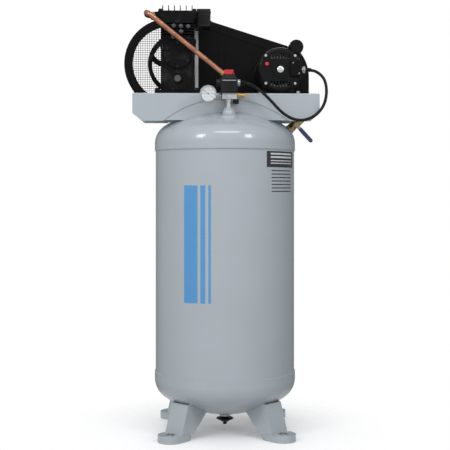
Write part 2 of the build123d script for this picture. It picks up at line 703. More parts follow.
# ---- drive: flywheel, belt and pulley -----------------------------------------------
WHEEL_HALF = 22.0
RIM_R = 104.0
HUB_R = 28.0
SPOKES = 5
SPOKE_WIDTH = 20.0
SPOKE_BOW = 16.0
GROOVE_HALF = 9.0
GROOVE_DEPTH = 13.0
wheel_rear = WHEEL_Y + WHEEL_HALF
with BuildSketch() as spoke:
    with BuildLine():
        ThreePointArc((HUB_R - 5, 0), ((RIM_R + HUB_R) / 2, SPOKE_BOW), (RIM_R + 3, 0))
    trace(line_width=SPOKE_WIDTH)
with BuildPart() as flywheel:
    with BuildSketch(facing(wheel_rear)):
        with Locations((CRANK_X, CRANK_Z)):
            Circle(WHEEL_R)
            Circle(RIM_R, mode=Mode.SUBTRACT)
    extrude(amount=2 * WHEEL_HALF)
    with BuildSketch(facing(wheel_rear)):
        with Locations((CRANK_X, CRANK_Z)):
            Circle(HUB_R)
    extrude(amount=2 * WHEEL_HALF)
    with BuildSketch(facing(WHEEL_Y + 7)):
        with Locations((CRANK_X, CRANK_Z)):
            with PolarLocations(0, SPOKES, start_angle=20):
                add(spoke.sketch)
    extrude(amount=14)
    with BuildSketch(facing(WHEEL_Y + GROOVE_HALF)):
        with Locations((CRANK_X, CRANK_Z)):
            Circle(WHEEL_R)
            Circle(WHEEL_R - GROOVE_DEPTH, mode=Mode.SUBTRACT)
    extrude(amount=2 * GROOVE_HALF, mode=Mode.SUBTRACT)
    with BuildSketch(facing(wheel_rear)):
        with Locations((CRANK_X, CRANK_Z)):
            Circle(WHEEL_SEAT_R)
    extrude(amount=2 * WHEEL_HALF, mode=Mode.SUBTRACT)
flywheel.part.label = "flywheel"
export_step(flywheel.part, "parts/flywheel.step")

end_screw = hex_bolt(19, 9, END_SCREW_R, END_SCREW_DEPTH + 3)
screw_plane = Plane(origin=(CRANK_X, CRANK_END + 3, CRANK_Z), x_dir=(1, 0, 0), z_dir=(0, 1, 0))
with BuildPart() as flywheel_screw:
    with Locations(screw_plane):
        add(end_screw)
    with BuildSketch(facing(CRANK_END + 3)):
        with Locations((CRANK_X, CRANK_Z)):
            Circle(18)
            Circle(END_SCREW_R, mode=Mode.SUBTRACT)
    extrude(amount=3)
flywheel_screw.part.label = "flywheel_screw"
export_step(flywheel_screw.part, "parts/flywheel_screw.step")

BELT_HALF = GROOVE_HALF - CLEAR
BELT_THICK = 10.0
wheel_belt_r = WHEEL_R - GROOVE_DEPTH + CLEAR
pulley_belt_r = PULLEY_PITCH_R - (WHEEL_PITCH_R - wheel_belt_r)
with BuildPart() as drive_belt:
    with BuildSketch(facing(WHEEL_Y + BELT_HALF)):
        with BuildLine():
            CenterArc((CRANK_X, CRANK_Z), wheel_belt_r + BELT_THICK, 0, 360)
            CenterArc((MOTOR_X, MOTOR_Z), pulley_belt_r + BELT_THICK, 0, 360)
        make_hull()
    extrude(amount=2 * BELT_HALF)
    with BuildSketch(facing(WHEEL_Y + BELT_HALF)):
        with BuildLine():
            CenterArc((CRANK_X, CRANK_Z), wheel_belt_r, 0, 360)
            CenterArc((MOTOR_X, MOTOR_Z), pulley_belt_r, 0, 360)
        make_hull()
    extrude(amount=2 * BELT_HALF, mode=Mode.SUBTRACT)
drive_belt.part.label = "drive_belt"
export_step(drive_belt.part, "parts/drive_belt.step")

PULLEY_HALF = 14.0
PULLEY_RIM_R = PULLEY_PITCH_R + 5
PULLEY_FLOOR_R = pulley_belt_r - CLEAR
with BuildPart() as motor_pulley:
    with BuildSketch(facing(WHEEL_Y + PULLEY_HALF)):
        with Locations((MOTOR_X, MOTOR_Z)):
            Circle(PULLEY_RIM_R)
    extrude(amount=2 * PULLEY_HALF)
    with BuildSketch(facing(WHEEL_Y + GROOVE_HALF)):
        with Locations((MOTOR_X, MOTOR_Z)):
            Circle(PULLEY_RIM_R)
            Circle(PULLEY_FLOOR_R, mode=Mode.SUBTRACT)
    extrude(amount=2 * GROOVE_HALF, mode=Mode.SUBTRACT)
    with BuildSketch(facing(WHEEL_Y + PULLEY_HALF)):
        with Locations((MOTOR_X, MOTOR_Z)):
            Circle(SHAFT_R)
    extrude(amount=2 * PULLEY_HALF, mode=Mode.SUBTRACT)
motor_pulley.part.label = "motor_pulley"
export_step(motor_pulley.part, "parts/motor_pulley.step")

# ---- belt guard ---------------------------------------------------------------------
GUARD_SHEET = 2.0
GUARD_ROUND_R = 178.0
GUARD_ROUND_X = -212.0
GUARD_TOP = CRANK_Z - 1 + GUARD_ROUND_R
GUARD_BOTTOM = CRANK_Z - 1 - GUARD_ROUND_R
GUARD_RIGHT = 337.0
BORDER = 34.0


def guard_outline(inset):
    """The guard's outline in the XZ plane, moved inwards by the given distance."""
    with BuildSketch() as outline:
        with BuildLine():
            JernArc(
                start=(GUARD_ROUND_X, GUARD_TOP), tangent=(-1, 0),
                radius=GUARD_ROUND_R, arc_size=180,
            )
            Line((GUARD_ROUND_X, GUARD_BOTTOM), (GUARD_RIGHT - 40, GUARD_BOTTOM))
            JernArc(
                start=(GUARD_RIGHT - 40, GUARD_BOTTOM), tangent=(1, 0),
                radius=40, arc_size=90,
            )
            Line((GUARD_RIGHT, GUARD_BOTTOM + 40), (GUARD_RIGHT, 1352))
            ThreePointArc((GUARD_RIGHT, 1352), (324, 1412), (292, 1459))
            Polyline((292, 1459), (-44, 1565), (-60, GUARD_TOP), (GUARD_ROUND_X, GUARD_TOP))
        make_face()
        if inset:
            offset(amount=-inset, kind=Kind.INTERSECTION)
    return outline.sketch


full_outline = guard_outline(0)
inner_outline = guard_outline(GUARD_SHEET)
window_outline = guard_outline(BORDER)
with BuildPart() as guard_band:
    with BuildSketch(facing(GUARD_BACK)):
        add(full_outline)
        add(inner_outline, mode=Mode.SUBTRACT)
    extrude(amount=GUARD_BACK - GUARD_FRONT)
    with BuildSketch(facing(GUARD_FRONT + GUARD_SHEET)):
        add(inner_outline)
        add(window_outline, mode=Mode.SUBTRACT)
    extrude(amount=GUARD_SHEET)
guard_band.part.label = "guard_band"
export_step(guard_band.part, "parts/guard_band.step")

# Two touching layers of straight wires close the rear face.
WIRE = 2.0
MESH_PITCH = 16.0
mesh_low = (GUARD_ROUND_X - GUARD_ROUND_R, GUARD_BOTTOM)
mesh_size = (GUARD_RIGHT - mesh_low[0], GUARD_TOP - GUARD_BOTTOM)
mesh_mid = (mesh_low[0] + mesh_size[0] / 2, mesh_low[1] + mesh_size[1] / 2)
with BuildPart() as guard_mesh:
    with BuildSketch(facing(GUARD_BACK)):
        with Locations(mesh_mid):
            with GridLocations(MESH_PITCH, 1, int(mesh_size[0] / MESH_PITCH), 1):
                Rectangle(WIRE, mesh_size[1])
        add(inner_outline, mode=Mode.INTERSECT)
    extrude(amount=WIRE)
    with BuildSketch(facing(GUARD_BACK - WIRE)):
        with Locations(mesh_mid):
            with GridLocations(1, MESH_PITCH, 1, int(mesh_size[1] / MESH_PITCH)):
                Rectangle(mesh_size[0], WIRE)
        add(inner_outline, mode=Mode.INTERSECT)
    extrude(amount=WIRE)
guard_mesh.part.label = "guard_mesh"
export_step(guard_mesh.part, "parts/guard_mesh.step")

SHEET_LEFT = -113.0
SHAFT_HOLE_R = 30.0
RIB_XS = (-12.0, 11.0, 117.0)
with BuildPart() as guard_sheet:
    with BuildSketch(facing(GUARD_FRONT + 2 * GUARD_SHEET)):
        add(inner_outline)
        with Locations((SHEET_LEFT - 200, CRANK_Z)):
            Rectangle(400, 500, mode=Mode.SUBTRACT)
        with Locations((MOTOR_X, MOTOR_Z)):
            Circle(SHAFT_HOLE_R, mode=Mode.SUBTRACT)
    extrude(amount=GUARD_SHEET)
    with BuildSketch(facing(GUARD_FRONT + GUARD_SHEET)):
        for rib_x in RIB_XS:
            with Locations((rib_x, MOTOR_Z + 20)):
                Rectangle(6, 180)
    extrude(amount=3)
guard_sheet.part.label = "guard_sheet"
export_step(guard_sheet.part, "parts/guard_sheet.step")

BRACE_Z = (1297.0, 1527.0)
with BuildPart() as guard_brace:
    with BuildSketch(Plane.XY.offset(BRACE_Z[0])):
        with Locations((SHEET_LEFT + 7, GUARD_FRONT - 8)):
            Rectangle(13, 2)
        with Locations((SHEET_LEFT + 12.5, GUARD_FRONT - 3)):
            Rectangle(2, 10)
    extrude(amount=BRACE_Z[1] - BRACE_Z[0])
    # tabs that carry the guard on the rear apron
    with BuildSketch(facing(GUARD_FRONT)):
        for tab_x in (-230, 0, 230):
            with Locations((tab_x, GUARD_BOTTOM + 18)):
                Rectangle(30, 24)
    extrude(amount=GUARD_FRONT - DECK_Y)
guard_brace.part.label = "guard_brace"
export_step(guard_brace.part, "parts/guard_brace.step")

# ---- motor --------------------------------------------------------------------------
FRAME_Y = (-92.0, 104.0)
FRAME_WALL = 4.5
BELL_DEPTH = 32.0
BELL_WALL = 5.0
MOTOR_BEARING_R = 23.5
MOTOR_BEARING_L = 12.0
THROUGH_X = 54.0
THROUGH_Z = 51.0
THROUGH_R = 3.0
through_points = [(x, z) for x in (-THROUGH_X, THROUGH_X) for z in (-THROUGH_Z, THROUGH_Z)]
GLAND_Y = -112.0
GLAND_R = 9.0
motor_axis = Location((MOTOR_X, MOTOR_Z))
BASE_H = 6.0

with BuildPart() as motor_frame:
    with BuildSketch(Plane.XY.offset(DECK_TOP)):
        with Locations((MOTOR_X, 0)):
            Rectangle(172, 156)
        with Locations(motor_bolt_points):
            Circle(FOOT_BOLT_R, mode=Mode.SUBTRACT)
    extrude(amount=BASE_H)
    for upright_y in (-60, 66):
        with BuildSketch(facing(upright_y)):
            with Locations((MOTOR_X, (DECK_TOP + MOTOR_Z) / 2)):
                Rectangle(112, MOTOR_Z - DECK_TOP)
        extrude(amount=6)
    with BuildSketch(facing(FRAME_Y[1])):
        with Locations(motor_axis):
            Circle(MOTOR_R)
    extrude(amount=FRAME_Y[1] - FRAME_Y[0])
    with BuildSketch(facing(FRAME_Y[1])):
        with Locations(motor_axis):
            Circle(MOTOR_R - FRAME_WALL)
    extrude(amount=FRAME_Y[1] - FRAME_Y[0], mode=Mode.SUBTRACT)
motor_frame.part.label = "motor_frame"
export_step(motor_frame.part, "parts/motor_frame.step")


def make_bell(joint_y, outward):
    """An end bell on the frame's end at joint_y; outward is -1 to the front, 1 to the rear."""
    joint = Plane(origin=(MOTOR_X, joint_y, MOTOR_Z), x_dir=(1, 0, 0), z_dir=(0, outward, 0))
    face = joint.offset(BELL_DEPTH)
    with BuildPart() as bell:
        with BuildSketch(joint):
            Circle(MOTOR_R)
        extrude(amount=BELL_DEPTH)
        fillet(bell.edges().sort_by(Axis.Y)[0 if outward < 0 else -1], 11)
        with BuildSketch(joint):
            Circle(MOTOR_R - BELL_WALL)
        extrude(amount=BELL_DEPTH - 11, mode=Mode.SUBTRACT)
        with BuildSketch(joint):
            Circle(MOTOR_R - 14)
        extrude(amount=BELL_DEPTH - BELL_WALL, mode=Mode.SUBTRACT)
        with BuildSketch(face):
            Circle(MOTOR_BEARING_R + 6)
        extrude(amount=-MOTOR_BEARING_L - BELL_WALL)
        with BuildSketch(face.offset(-BELL_WALL)):
            Circle(MOTOR_BEARING_R)
        extrude(amount=-MOTOR_BEARING_L, mode=Mode.SUBTRACT)
        with BuildSketch(joint):
            with Locations(through_points):
                Circle(THROUGH_R + 3)
        extrude(amount=BELL_DEPTH - 1)
        with BuildSketch(joint):
            with Locations(through_points):
                Circle(THROUGH_R)
        extrude(amount=BELL_DEPTH, mode=Mode.SUBTRACT)
        with BuildSketch(face):
            with Locations((0, 52), (0, -52)):
                with GridLocations(11, 1, 7, 1):
                    SlotOverall(24, 5, rotation=90)
        extrude(amount=-BELL_WALL - 1, mode=Mode.SUBTRACT)
    return bell.part


RESET_X = -50.0
RESET_Z = 20.0
RESET_R = 7.0
with BuildPart() as motor_front_bell:
    add(make_bell(FRAME_Y[0], -1))
    with BuildSketch(facing(FRAME_Y[0] - BELL_DEPTH)):
        with Locations(motor_axis):
            Circle(14)
    extrude(amount=4)
    with BuildSketch(facing(FRAME_Y[0] - BELL_DEPTH)):
        with Locations((MOTOR_X + RESET_X, MOTOR_Z + RESET_Z)):
            Circle(RESET_R + CLEAR)
    extrude(amount=-BELL_WALL - 1, mode=Mode.SUBTRACT)
    with BuildSketch(from_right(MOTOR_X)):
        with Locations((GLAND_Y, MOTOR_Z)):
            Circle(GLAND_R)
    extrude(amount=MOTOR_R + 5, mode=Mode.SUBTRACT)
    with BuildSketch(facing(FRAME_Y[0] - BELL_DEPTH + BELL_WALL + MOTOR_BEARING_L)):
        with Locations(motor_axis):
            Circle(MOTOR_BEARING_R + 6)
            Circle(MOTOR_BEARING_R, mode=Mode.SUBTRACT)
    extrude(amount=MOTOR_BEARING_L)
motor_front_bell.part.label = "motor_front_bell"
export_step(motor_front_bell.part, "parts/motor_front_bell.step")

with BuildPart() as motor_rear_bell:
    add(make_bell(FRAME_Y[1], 1))
    with BuildSketch(facing(FRAME_Y[1] + BELL_DEPTH)):
        with Locations(motor_axis):
            Circle(SHAFT_R + 1)
    extrude(amount=BELL_DEPTH, mode=Mode.SUBTRACT)
motor_rear_bell.part.label = "motor_rear_bell"
export_step(motor_rear_bell.part, "parts/motor_rear_bell.step")

CORE_Y = (-50.0, 58.0)
ROTOR_R = 49.4
with BuildPart() as motor_stator:
    with BuildSketch(facing(CORE_Y[1])):
        with Locations(motor_axis):
            Circle(MOTOR_R - FRAME_WALL)
            Circle(ROTOR_R + 0.5, mode=Mode.SUBTRACT)
            with Locations(through_points):
                Circle(THROUGH_R + 1.5, mode=Mode.SUBTRACT)
    extrude(amount=CORE_Y[1] - CORE_Y[0])
motor_stator.part.label = "motor_stator"
export_step(motor_stator.part, "parts/motor_stator.step")

with BuildPart() as motor_rotor:
    with BuildSketch(facing(CORE_Y[1])):
        with Locations(motor_axis):
            Circle(ROTOR_R)
            Circle(SHAFT_R, mode=Mode.SUBTRACT)
    extrude(amount=CORE_Y[1] - CORE_Y[0])
motor_rotor.part.label = "motor_rotor"
export_step(motor_rotor.part, "parts/motor_rotor.step")

front_bearing_y = FRAME_Y[0] - BELL_DEPTH + BELL_WALL
rear_bearing_y = FRAME_Y[1] + BELL_DEPTH - BELL_WALL
with BuildPart() as motor_shaft:
    with BuildSketch(facing(WHEEL_Y + PULLEY_HALF + 4)):
        with Locations(motor_axis):
            Circle(SHAFT_R)
    extrude(amount=WHEEL_Y + PULLEY_HALF + 4 - front_bearing_y - 1)
motor_shaft.part.label = "motor_shaft"
export_step(motor_shaft.part, "parts/motor_shaft.step")

FAN_Y = (70.0, 90.0)
with BuildPart() as motor_fan:
    with BuildSketch(facing(FAN_Y[1])):
        with Locations(motor_axis):
            Circle(24)
            with PolarLocations(40, 8):
                Rectangle(38, 3)
            Circle(SHAFT_R, mode=Mode.SUBTRACT)
    extrude(amount=FAN_Y[1] - FAN_Y[0])
motor_fan.part.label = "motor_fan"
export_step(motor_fan.part, "parts/motor_fan.step")

bearings_list = (
    (CRANK_X, CRANK_Z, BEARING_R, JOURNAL_R, FRONT_BEARING_Y),
    (CRANK_X, CRANK_Z, BEARING_R, JOURNAL_R, REAR_BEARING_Y),
    (MOTOR_X, MOTOR_Z, MOTOR_BEARING_R, SHAFT_R,
     (front_bearing_y, front_bearing_y + MOTOR_BEARING_L)),
    (MOTOR_X, MOTOR_Z, MOTOR_BEARING_R, SHAFT_R,
     (rear_bearing_y - MOTOR_BEARING_L, rear_bearing_y)),
)
with BuildPart() as bearings:
    for axis_x, axis_z, outer_r, shaft_r, (front_y, rear_y) in bearings_list:
        with BuildSketch(facing(rear_y)):
            with Locations((axis_x, axis_z)):
                Circle(outer_r)
                Circle(shaft_r + RUNNING, mode=Mode.SUBTRACT)
        extrude(amount=rear_y - front_y)
bearings.part.label = "bearings"
export_step(bearings.part, "parts/bearings.step")

bell_face = Plane(
    origin=(MOTOR_X, FRAME_Y[0] - BELL_DEPTH, MOTOR_Z), x_dir=(1, 0, 0), z_dir=(0, -1, 0)
)
through_bolt = hex_bolt(9, 4, THROUGH_R, FRAME_Y[1] - FRAME_Y[0] + 2 * BELL_DEPTH)
base_bolt = hex_bolt(16, 8, FOOT_BOLT_R, BASE_H + 9)
with BuildPart() as motor_bolts:
    with Locations(bell_face):
        with Locations(through_points):
            add(through_bolt)
    with Locations([(x, y, DECK_TOP + BASE_H) for x, y in motor_bolt_points]):
        add(base_bolt)
motor_bolts.part.label = "motor_bolts"
export_step(motor_bolts.part, "parts/motor_bolts.step")

CAN_R = 26.5
CAN_ANGLE = 55.0
CAN_Y = (-96.0, 24.0)
can_x = MOTOR_X + (MOTOR_R + CAN_R) * math.cos(math.radians(CAN_ANGLE))
can_z = MOTOR_Z + (MOTOR_R + CAN_R) * math.sin(math.radians(CAN_ANGLE))
with BuildPart() as capacitor_can:
    with BuildSketch(facing(CAN_Y[1])):
        with Locations((can_x, can_z)):
            Circle(CAN_R)
    extrude(amount=CAN_Y[1] - CAN_Y[0])
    fillet(capacitor_can.edges().filter_by(GeomType.CIRCLE), 8)
capacitor_can.part.label = "capacitor_can"
export_step(capacitor_can.part, "parts/capacitor_can.step")

TERMINAL_X = (236.0, 278.0)
TERMINAL_Z = (1320.0, 1381.0)
TERMINAL_FRONT = -138.0
bell_front = FRAME_Y[0] - BELL_DEPTH
with BuildPart() as terminal_cover:
    with BuildSketch(facing(bell_front)):
        with Locations((sum(TERMINAL_X) / 2, sum(TERMINAL_Z) / 2)):
            RectangleRounded(TERMINAL_X[1] - TERMINAL_X[0], TERMINAL_Z[1] - TERMINAL_Z[0], 5)
    extrude(amount=bell_front - TERMINAL_FRONT)
    fillet(terminal_cover.faces().sort_by(Axis.Y)[0].edges(), 3)
    with BuildSketch(facing(bell_front)):
        with Locations((sum(TERMINAL_X) / 2, sum(TERMINAL_Z) / 2)):
            Rectangle(TERMINAL_X[1] - TERMINAL_X[0] - 10, TERMINAL_Z[1] - TERMINAL_Z[0] - 24)
    extrude(amount=bell_front - TERMINAL_FRONT - 4, mode=Mode.SUBTRACT)
terminal_cover.part.label = "terminal_cover"
export_step(terminal_cover.part, "parts/terminal_cover.step")

RESET_TRAVEL = 3.0
with BuildPart() as reset_button:
    with BuildSketch(facing(bell_front + 3)):
        with Locations((MOTOR_X + RESET_X, MOTOR_Z + RESET_Z)):
            Circle(RESET_R)
    extrude(amount=3 + RESET_TRAVEL + 4)
    fillet(reset_button.edges().sort_by(Axis.Y)[0], 2)
reset_button.part.label = "reset_button"
export_step(reset_button.part, "parts/reset_button.step")

# ---- controls on the top port -------------------------------------------------------
MANIFOLD_X = (-19.0, 38.0)
MANIFOLD_Y = (-200.0, -163.0)
MANIFOLD_Z = (1231.0, 1252.0)
ARM_Z = 1246.0
ARM_Y = -185.0
ARM_R = 6.0
PLUG_Z = 1241.0
with BuildPart() as manifold:
    with BuildSketch(Plane.XY.offset(MANIFOLD_Z[0])):
        with Locations((sum(MANIFOLD_X) / 2, sum(MANIFOLD_Y) / 2)):
            RectangleRounded(MANIFOLD_X[1] - MANIFOLD_X[0], MANIFOLD_Y[1] - MANIFOLD_Y[0], 5)
    extrude(amount=MANIFOLD_Z[1] - MANIFOLD_Z[0])
    with BuildSketch(Plane.XY.offset(TOP_BOSS_Z[0] + 8)):
        with Locations((PORT_X, PORT_Y)):
            Circle(11)
    extrude(amount=MANIFOLD_Z[0] - TOP_BOSS_Z[0] - 8)
    with BuildSketch(Plane.XY.offset(MANIFOLD_Z[0] - 8)):
        with Locations((PORT_X, PORT_Y)):
            RegularPolygon(12, 6, major_radius=False)
    extrude(amount=8)
    with BuildSketch(facing(MANIFOLD_Y[0])):
        with Locations((PORT_X, PLUG_Z)):
            RegularPolygon(9, 6, major_radius=False)
    extrude(amount=6)
    with BuildSketch(Plane.XY.offset(TOP_BOSS_Z[0] + 8)):
        with Locations((PORT_X, PORT_Y)):
            Circle(6)
    extrude(amount=MANIFOLD_Z[0] - TOP_BOSS_Z[0], mode=Mode.SUBTRACT)
manifold.part.label = "manifold"
export_step(manifold.part, "parts/manifold.step")

CAP_X = 33.0
CAP_Y = -188.0
with BuildPart() as port_cap:
    with BuildSketch(Plane.XY.offset(MANIFOLD_Z[0] - 17)):
        with Locations((CAP_X, CAP_Y)):
            Circle(11)
    extrude(amount=17)
    fillet(port_cap.edges().group_by(Axis.Z)[0], 4)
port_cap.part.label = "port_cap"
export_step(port_cap.part, "parts/port_cap.step")

SWITCH_X = (-23.0, 38.0)
SWITCH_Y = (-222.0, -162.0)
SWITCH_MID = (sum(SWITCH_X) / 2, sum(SWITCH_Y) / 2)
SWITCH_SIZE = (SWITCH_X[1] - SWITCH_X[0], SWITCH_Y[1] - SWITCH_Y[0])
PLATE_H = 4.0
COVER_STEP_Z = 1304.0
COVER_TOP = 1319.0
COVER_WALL = 2.5
with BuildPart() as switch_base:
    with BuildSketch(Plane.XY.offset(MANIFOLD_Z[1])):
        with Locations(SWITCH_MID):
            RectangleRounded(*SWITCH_SIZE, 4)
    extrude(amount=PLATE_H)
    with BuildSketch(Plane.XY.offset(MANIFOLD_Z[1] + PLATE_H)):
        with Locations(SWITCH_MID):
            Rectangle(34, 36)
    extrude(amount=30)
switch_base.part.label = "switch_base"
export_step(switch_base.part, "parts/switch_base.step")

CONNECTOR_Y = -193.0
CONNECTOR_Z = 1290.0
CONNECTOR_R = 9.0
KNOB_STEM_R = 6.0
cover_bottom = MANIFOLD_Z[1] + PLATE_H
with BuildPart() as switch_cover:
    with BuildSketch(Plane.XY.offset(cover_bottom)):
        with Locations(SWITCH_MID):
            RectangleRounded(*SWITCH_SIZE, 4)
    extrude(amount=COVER_STEP_Z - cover_bottom)
    with BuildSketch(Plane.XY.offset(COVER_STEP_Z)):
        with Locations(SWITCH_MID):
            RectangleRounded(SWITCH_SIZE[0] - 3, SWITCH_SIZE[1] - 3, 6)
    with BuildSketch(Plane.XY.offset(COVER_TOP)):
        with Locations(SWITCH_MID):
            RectangleRounded(SWITCH_SIZE[0] - 18, SWITCH_SIZE[1] - 18, 12)
    loft()
    with BuildSketch(Plane.XY.offset(cover_bottom)):
        with Locations(SWITCH_MID):
            Rectangle(SWITCH_SIZE[0] - 2 * COVER_WALL, SWITCH_SIZE[1] - 2 * COVER_WALL)
    extrude(amount=COVER_STEP_Z - cover_bottom - COVER_WALL, mode=Mode.SUBTRACT)
    with BuildSketch(Plane.XY.offset(COVER_STEP_Z - 4)):
        with Locations(SWITCH_MID):
            Circle(KNOB_STEM_R + RUNNING)
    extrude(amount=COVER_TOP - COVER_STEP_Z + 5, mode=Mode.SUBTRACT)
    with BuildSketch(from_right(SWITCH_X[0] - 1)):
        with Locations((CONNECTOR_Y, CONNECTOR_Z)):
            Circle(CONNECTOR_R)
    extrude(amount=SWITCH_SIZE[0] + 2, mode=Mode.SUBTRACT)
switch_cover.part.label = "switch_cover"
export_step(switch_cover.part, "parts/switch_cover.step")

KNOB_TOP = 1337.0
with BuildPart() as switch_knob:
    with BuildSketch(Plane.XY.offset(COVER_TOP + CLEAR)):
        with Locations(SWITCH_MID):
            Circle(19.5)
    extrude(amount=7)
    with BuildSketch(Plane.XY.offset(COVER_TOP + 7)):
        with Locations(SWITCH_MID):
            RectangleRounded(34, 14, 6)
    extrude(amount=KNOB_TOP - COVER_TOP - 7)
    with BuildSketch(Plane.XY.offset(COVER_STEP_Z)):
        with Locations(SWITCH_MID):
            Circle(KNOB_STEM_R)
    extrude(amount=COVER_TOP + 1 - COVER_STEP_Z)
switch_knob.part.label = "switch_knob"
export_step(switch_knob.part, "parts/switch_knob.step")

GLAND_FACE_X = 292.0
CONNECTOR_FACE_X = 48.0
SUPPLY_FACE_X = -37.0
SUPPLY_BORE_R = 6.5
flank_x = MOTOR_X + MOTOR_R
with BuildPart() as cable_glands:
    with BuildSketch(from_right(flank_x - BELL_WALL)):
        with Locations((GLAND_Y, MOTOR_Z)):
            Circle(GLAND_R)
    extrude(amount=BELL_WALL + 2)
    with BuildSketch(from_right(flank_x + 0.5)):
        with Locations((GLAND_Y, MOTOR_Z)):
            RegularPolygon(12, 6, major_radius=False)
    extrude(amount=GLAND_FACE_X - flank_x - 0.5)
    with BuildSketch(from_right(SWITCH_X[1] - COVER_WALL)):
        with Locations((CONNECTOR_Y, CONNECTOR_Z)):
            Circle(CONNECTOR_R)
    extrude(amount=COVER_WALL)
    with BuildSketch(from_right(SWITCH_X[1])):
        with Locations((CONNECTOR_Y, CONNECTOR_Z)):
            Circle(13)
    extrude(amount=CONNECTOR_FACE_X - SWITCH_X[1])
    with BuildSketch(from_right(SUPPLY_FACE_X)):
        with Locations((CONNECTOR_Y, CONNECTOR_Z)):
            Circle(13)
    extrude(amount=SWITCH_X[0] - SUPPLY_FACE_X)
    with BuildSketch(from_right(SWITCH_X[0])):
        with Locations((CONNECTOR_Y, CONNECTOR_Z)):
            Circle(CONNECTOR_R)
    extrude(amount=COVER_WALL)
    with BuildSketch(from_right(SUPPLY_FACE_X)):
        with Locations((CONNECTOR_Y, CONNECTOR_Z)):
            Circle(SUPPLY_BORE_R)
    extrude(amount=SWITCH_X[0] + COVER_WALL - SUPPLY_FACE_X, mode=Mode.SUBTRACT)
cable_glands.part.label = "cable_glands"
export_step(cable_glands.part, "parts/cable_glands.step")

GAUGE_X = -68.0
GAUGE_Z = 1249.0
GAUGE_R = 30.0
GAUGE_Y = (-222.0, -198.0)
DIAL_Y = -216.0
NEEDLE_PIN_R = 1.5
with BuildPart() as gauge_case:
    with BuildSketch(facing(GAUGE_Y[1])):
        with Locations((GAUGE_X, GAUGE_Z)):
            Circle(GAUGE_R)
    extrude(amount=GAUGE_Y[1] - GAUGE_Y[0])
    with BuildSketch(facing(DIAL_Y)):
        with Locations((GAUGE_X, GAUGE_Z)):
            Circle(GAUGE_R - 2.5)
    extrude(amount=DIAL_Y - GAUGE_Y[0], mode=Mode.SUBTRACT)
    with BuildSketch(facing(DIAL_Y)):
        with Locations((GAUGE_X, GAUGE_Z)):
            Circle(NEEDLE_PIN_R)
    extrude(amount=3.4)
    with BuildSketch(facing(ARM_Y)):
        with Locations((GAUGE_X, ARM_Z)):
            Circle(8)
    extrude(amount=ARM_Y - GAUGE_Y[1])
    with BuildSketch(from_right(GAUGE_X)):
        with Locations((ARM_Y, ARM_Z)):
            Circle(ARM_R)
    extrude(amount=MANIFOLD_X[0] - GAUGE_X)
    with BuildSketch(from_right(MANIFOLD_X[0] - 17)):
        with Locations((ARM_Y, ARM_Z)):
            RegularPolygon(8, 6, major_radius=False)
    extrude(amount=12)
gauge_case.part.label = "gauge_case"
export_step(gauge_case.part, "parts/gauge_case.step")

NEEDLE_REST = 148.0      # degrees from +X, anticlockwise seen from the front
NEEDLE_SHEET = 0.8
needle_dir = (math.cos(math.radians(NEEDLE_REST)), math.sin(math.radians(NEEDLE_REST)))
with BuildPart() as gauge_needle:
    with BuildSketch(facing(DIAL_Y - 1.5)):
        with Locations((GAUGE_X, GAUGE_Z)):
            Circle(3.5)
            with Locations(Location((7 * needle_dir[0], 7 * needle_dir[1]), NEEDLE_REST)):
                Rectangle(30, 1.8)
            Circle(NEEDLE_PIN_R + RUNNING, mode=Mode.SUBTRACT)
    extrude(amount=NEEDLE_SHEET)
gauge_needle.part.label = "gauge_needle"
export_step(gauge_needle.part, "parts/gauge_needle.step")

SAFETY_END_X = 64.0
with BuildPart() as safety_valve:
    with BuildSketch(from_right(MANIFOLD_X[1])):
        with Locations((ARM_Y, ARM_Z)):
            RegularPolygon(8, 6, major_radius=False)
    extrude(amount=9)
    with BuildSketch(from_right(MANIFOLD_X[1])):
        with Locations((ARM_Y, ARM_Z)):
            Circle(ARM_R)
    extrude(amount=SAFETY_END_X - MANIFOLD_X[1])
    with BuildSketch(from_right(SAFETY_END_X - 20)):
        with Locations((ARM_Y, ARM_Z)):
            Circle(2 + RUNNING)
    extrude(amount=20, mode=Mode.SUBTRACT)
safety_valve.part.label = "safety_valve"
export_step(safety_valve.part, "parts/safety_valve.step")

RING_R = 8.0
with BuildPart() as safety_ring:
    with BuildSketch(from_right(SAFETY_END_X - 16)):
        with Locations((ARM_Y, ARM_Z)):
            Circle(2)
    extrude(amount=20)
    with BuildSketch(facing(ARM_Y + 1)):
        with Locations((SAFETY_END_X + 3 + RING_R, ARM_Z)):
            Circle(RING_R)
            Circle(RING_R - 2, mode=Mode.SUBTRACT)
    extrude(amount=2)
safety_ring.part.label = "safety_ring"
export_step(safety_ring.part, "parts/safety_ring.step")

# ---- discharge tube and check valve -------------------------------------------------
TUBE_R = 9.5
TUBE_WALL = 1.2
TUBE_Y = -151.0
elbow_top = (-16.0, TUBE_Y, 1331.4)
tube_points = [
    (HEAD_X[0] - 12, OUTLET_Y, OUTLET_Z),
    (-292, OUTLET_Y, OUTLET_Z),
    (-292, TUBE_Y, 1554.3),
    elbow_top,
]
with BuildPart() as discharge_tube:
    with BuildLine():
        FilletPolyline(*tube_points, radius=24)
    with BuildSketch(Plane(origin=tube_points[0], z_dir=(-1, 0, 0))):
        Circle(TUBE_R)
        Circle(TUBE_R - TUBE_WALL, mode=Mode.SUBTRACT)
    sweep()
discharge_tube.part.label = "discharge_tube"
export_step(discharge_tube.part, "parts/discharge_tube.step")

